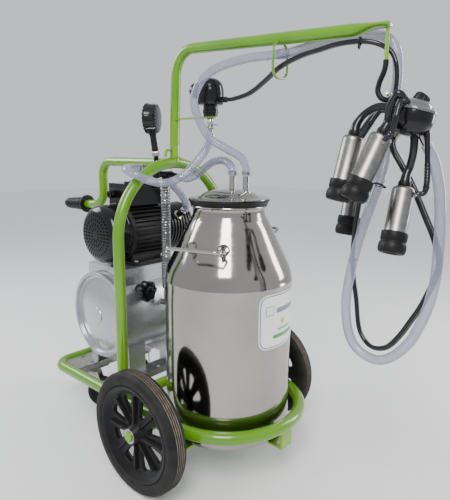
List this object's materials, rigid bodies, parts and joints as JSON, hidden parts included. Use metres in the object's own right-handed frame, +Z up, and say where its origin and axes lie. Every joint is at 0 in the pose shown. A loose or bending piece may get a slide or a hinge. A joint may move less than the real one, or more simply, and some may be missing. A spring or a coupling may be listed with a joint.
{
  "type": "mobile milking machine",
  "caption": "Two-wheeled cart with a milk can, a motor-driven vacuum pump on a tank, and a swivelling hose mast carrying a hanging cluster of teat cups.",
  "frame": {"origin": "on the floor, at the centre of the machine's box in X and Y, measured without the hoses", "axes": "+Z up; -Y towards the can and the cluster, +Y towards the pump and the handle; -X is the motor's fan side"},
  "size_m": [0.5834, 1.2775, 1.0746],
  "materials": {
    "green_paint": "gloss powder coat",
    "black_cast": "semi-gloss black paint",
    "black_plastic": "moulded, matt",
    "rubber": "moulded black rubber",
    "tyre": "grooved solid rubber",
    "polished_steel": "polished stainless steel",
    "brushed_steel": "brushed stainless steel",
    "zinc": "zinc plated",
    "silver_paint": "silver paint",
    "clear_hose": "clear PVC",
    "pulse_rubber": "smooth black rubber tube"
  },
  "bodies": {
    "cart": {"arch": "green_paint", "base_loop": "green_paint", "can": "polished_steel", "can_gasket": "rubber", "can_lid": "polished_steel", "can_rest_cross": "green_paint", "can_rest_long": "green_paint", "cross_tube": "green_paint", "drain_plug": "black_plastic", "exhaust_silencer": "black_cast", "fan_cover": "black_plastic", "front_deck": "zinc", "gauge": "rubber", "handle_grip": "rubber", "handle_tube": "green_paint", "manifold": "black_plastic", "mast_socket": "green_paint", "milk_hose_can": "clear_hose", "motor_body": "black_cast", "motor_saddle": "silver_paint", "pump_housing": "black_cast", "rear_deck": "zinc", "regulator_body": "black_plastic", "tank_foot_left": "silver_paint", "tank_foot_right": "silver_paint", "terminal_box": "black_plastic", "vacuum_hose_lid": "clear_hose", "vacuum_hose_pulsator": "clear_hose", "vacuum_hose_pump": "clear_hose", "vacuum_hose_tank": "clear_hose", "vacuum_tank": "silver_paint"},
    "wheel_left": {"wheel_left_rim": "black_plastic", "wheel_left_tyre": "tyre"},
    "wheel_right": {"wheel_right_rim": "black_plastic", "wheel_right_tyre": "tyre"},
    "swivel_left": {"caster_left_fork": "zinc"},
    "swivel_right": {"caster_right_fork": "zinc"},
    "roller_left": {"caster_left_wheel": "rubber"},
    "roller_right": {"caster_right_wheel": "rubber"},
    "bail_left": {"can_handle_left": "polished_steel"},
    "bail_right": {"can_handle_right": "polished_steel"},
    "regulator_screw": {"regulator_knob": "black_plastic"},
    "rotor": {"drive_shaft": "zinc"},
    "rocker": {"power_switch": "black_plastic"},
    "pointer": {"gauge_needle": "black_plastic"},
    "mast": {"mast": "green_paint", "cluster_hook": "rubber", "pulsator_bracket": "green_paint", "pulsator": "black_plastic", "milk_hose_claw": "clear_hose", "pulse_hose": "pulse_rubber"},
    "cluster": {"claw": "black_plastic", "cup_front_left": "brushed_steel", "cup_front_right": "brushed_steel", "cup_rear_left": "brushed_steel", "cup_rear_right": "brushed_steel", "liner_front_left": "rubber", "liner_front_right": "rubber", "liner_rear_left": "rubber", "liner_rear_right": "rubber"}
  },
  "joints": [
    {"name": "wheel_left_spin", "type": "hinge", "parent": "cart", "child": "wheel_left", "pos_m": [-0.2587, -0.0787, 0.15], "axis": [1, 0, 0], "continuous": true},
    {"name": "wheel_right_spin", "type": "hinge", "parent": "cart", "child": "wheel_right", "pos_m": [0.2587, -0.0787, 0.15], "axis": [1, 0, 0], "continuous": true},
    {"name": "caster_left_swivel", "type": "hinge", "parent": "cart", "child": "swivel_left", "pos_m": [-0.105, 0.3518, 0.125], "axis": [0, 0, 1], "continuous": true},
    {"name": "caster_left_spin", "type": "hinge", "parent": "swivel_left", "child": "roller_left", "pos_m": [-0.08394, 0.32385, 0.05], "axis": [-0.7986, -0.6018, 0], "continuous": true},
    {"name": "caster_right_swivel", "type": "hinge", "parent": "cart", "child": "swivel_right", "pos_m": [0.105, 0.3518, 0.125], "axis": [0, 0, 1], "continuous": true},
    {"name": "caster_right_spin", "type": "hinge", "parent": "swivel_right", "child": "roller_right", "pos_m": [0.08394, 0.32385, 0.05], "axis": [-0.7986, 0.6018, 0], "continuous": true},
    {"name": "mast_swivel", "type": "hinge", "parent": "cart", "child": "mast", "pos_m": [0, 0.0638, 0.82], "axis": [0, 0, 1], "range_deg": [-45, 45], "deforming": ["vacuum_hose_pulsator", "milk_hose_can"]},
    {"name": "cluster_swing", "type": "hinge", "parent": "mast", "child": "cluster", "pos_m": [0, -0.5287, 0.9102], "axis": [1, 0, 0], "range_deg": [-10, 10], "deforming": ["milk_hose_claw", "pulse_hose"]},
    {"name": "bail_left_lift", "type": "hinge", "parent": "cart", "child": "bail_left", "pos_m": [-0.14239, -0.17673, 0.585], "axis": [-0.2924, 0.9563, 0], "range_deg": [0, 95]},
    {"name": "bail_right_lift", "type": "hinge", "parent": "cart", "child": "bail_right", "pos_m": [0.14239, -0.08967, 0.585], "axis": [0.2924, -0.9563, 0], "range_deg": [0, 95]},
    {"name": "regulator_turn", "type": "hinge", "parent": "cart", "child": "regulator_screw", "pos_m": [-0.062, 0.1303, 0.4195], "axis": [0, -1, 0], "range_deg": [0, 300]},
    {"name": "motor_spin", "type": "hinge", "parent": "cart", "child": "rotor", "pos_m": [0, 0.2568, 0.572], "axis": [1, 0, 0], "continuous": true},
    {"name": "switch_rock", "type": "hinge", "parent": "cart", "child": "rocker", "pos_m": [-0.018, 0.2388, 0.717], "axis": [0, 1, 0], "range_deg": [0, 12]},
    {"name": "gauge_pointer", "type": "hinge", "parent": "cart", "child": "pointer", "pos_m": [-0.03503, 0.12686, 0.895], "axis": [-0.5291, 0.8486, 0], "range_deg": [0, 270]}
  ]
}
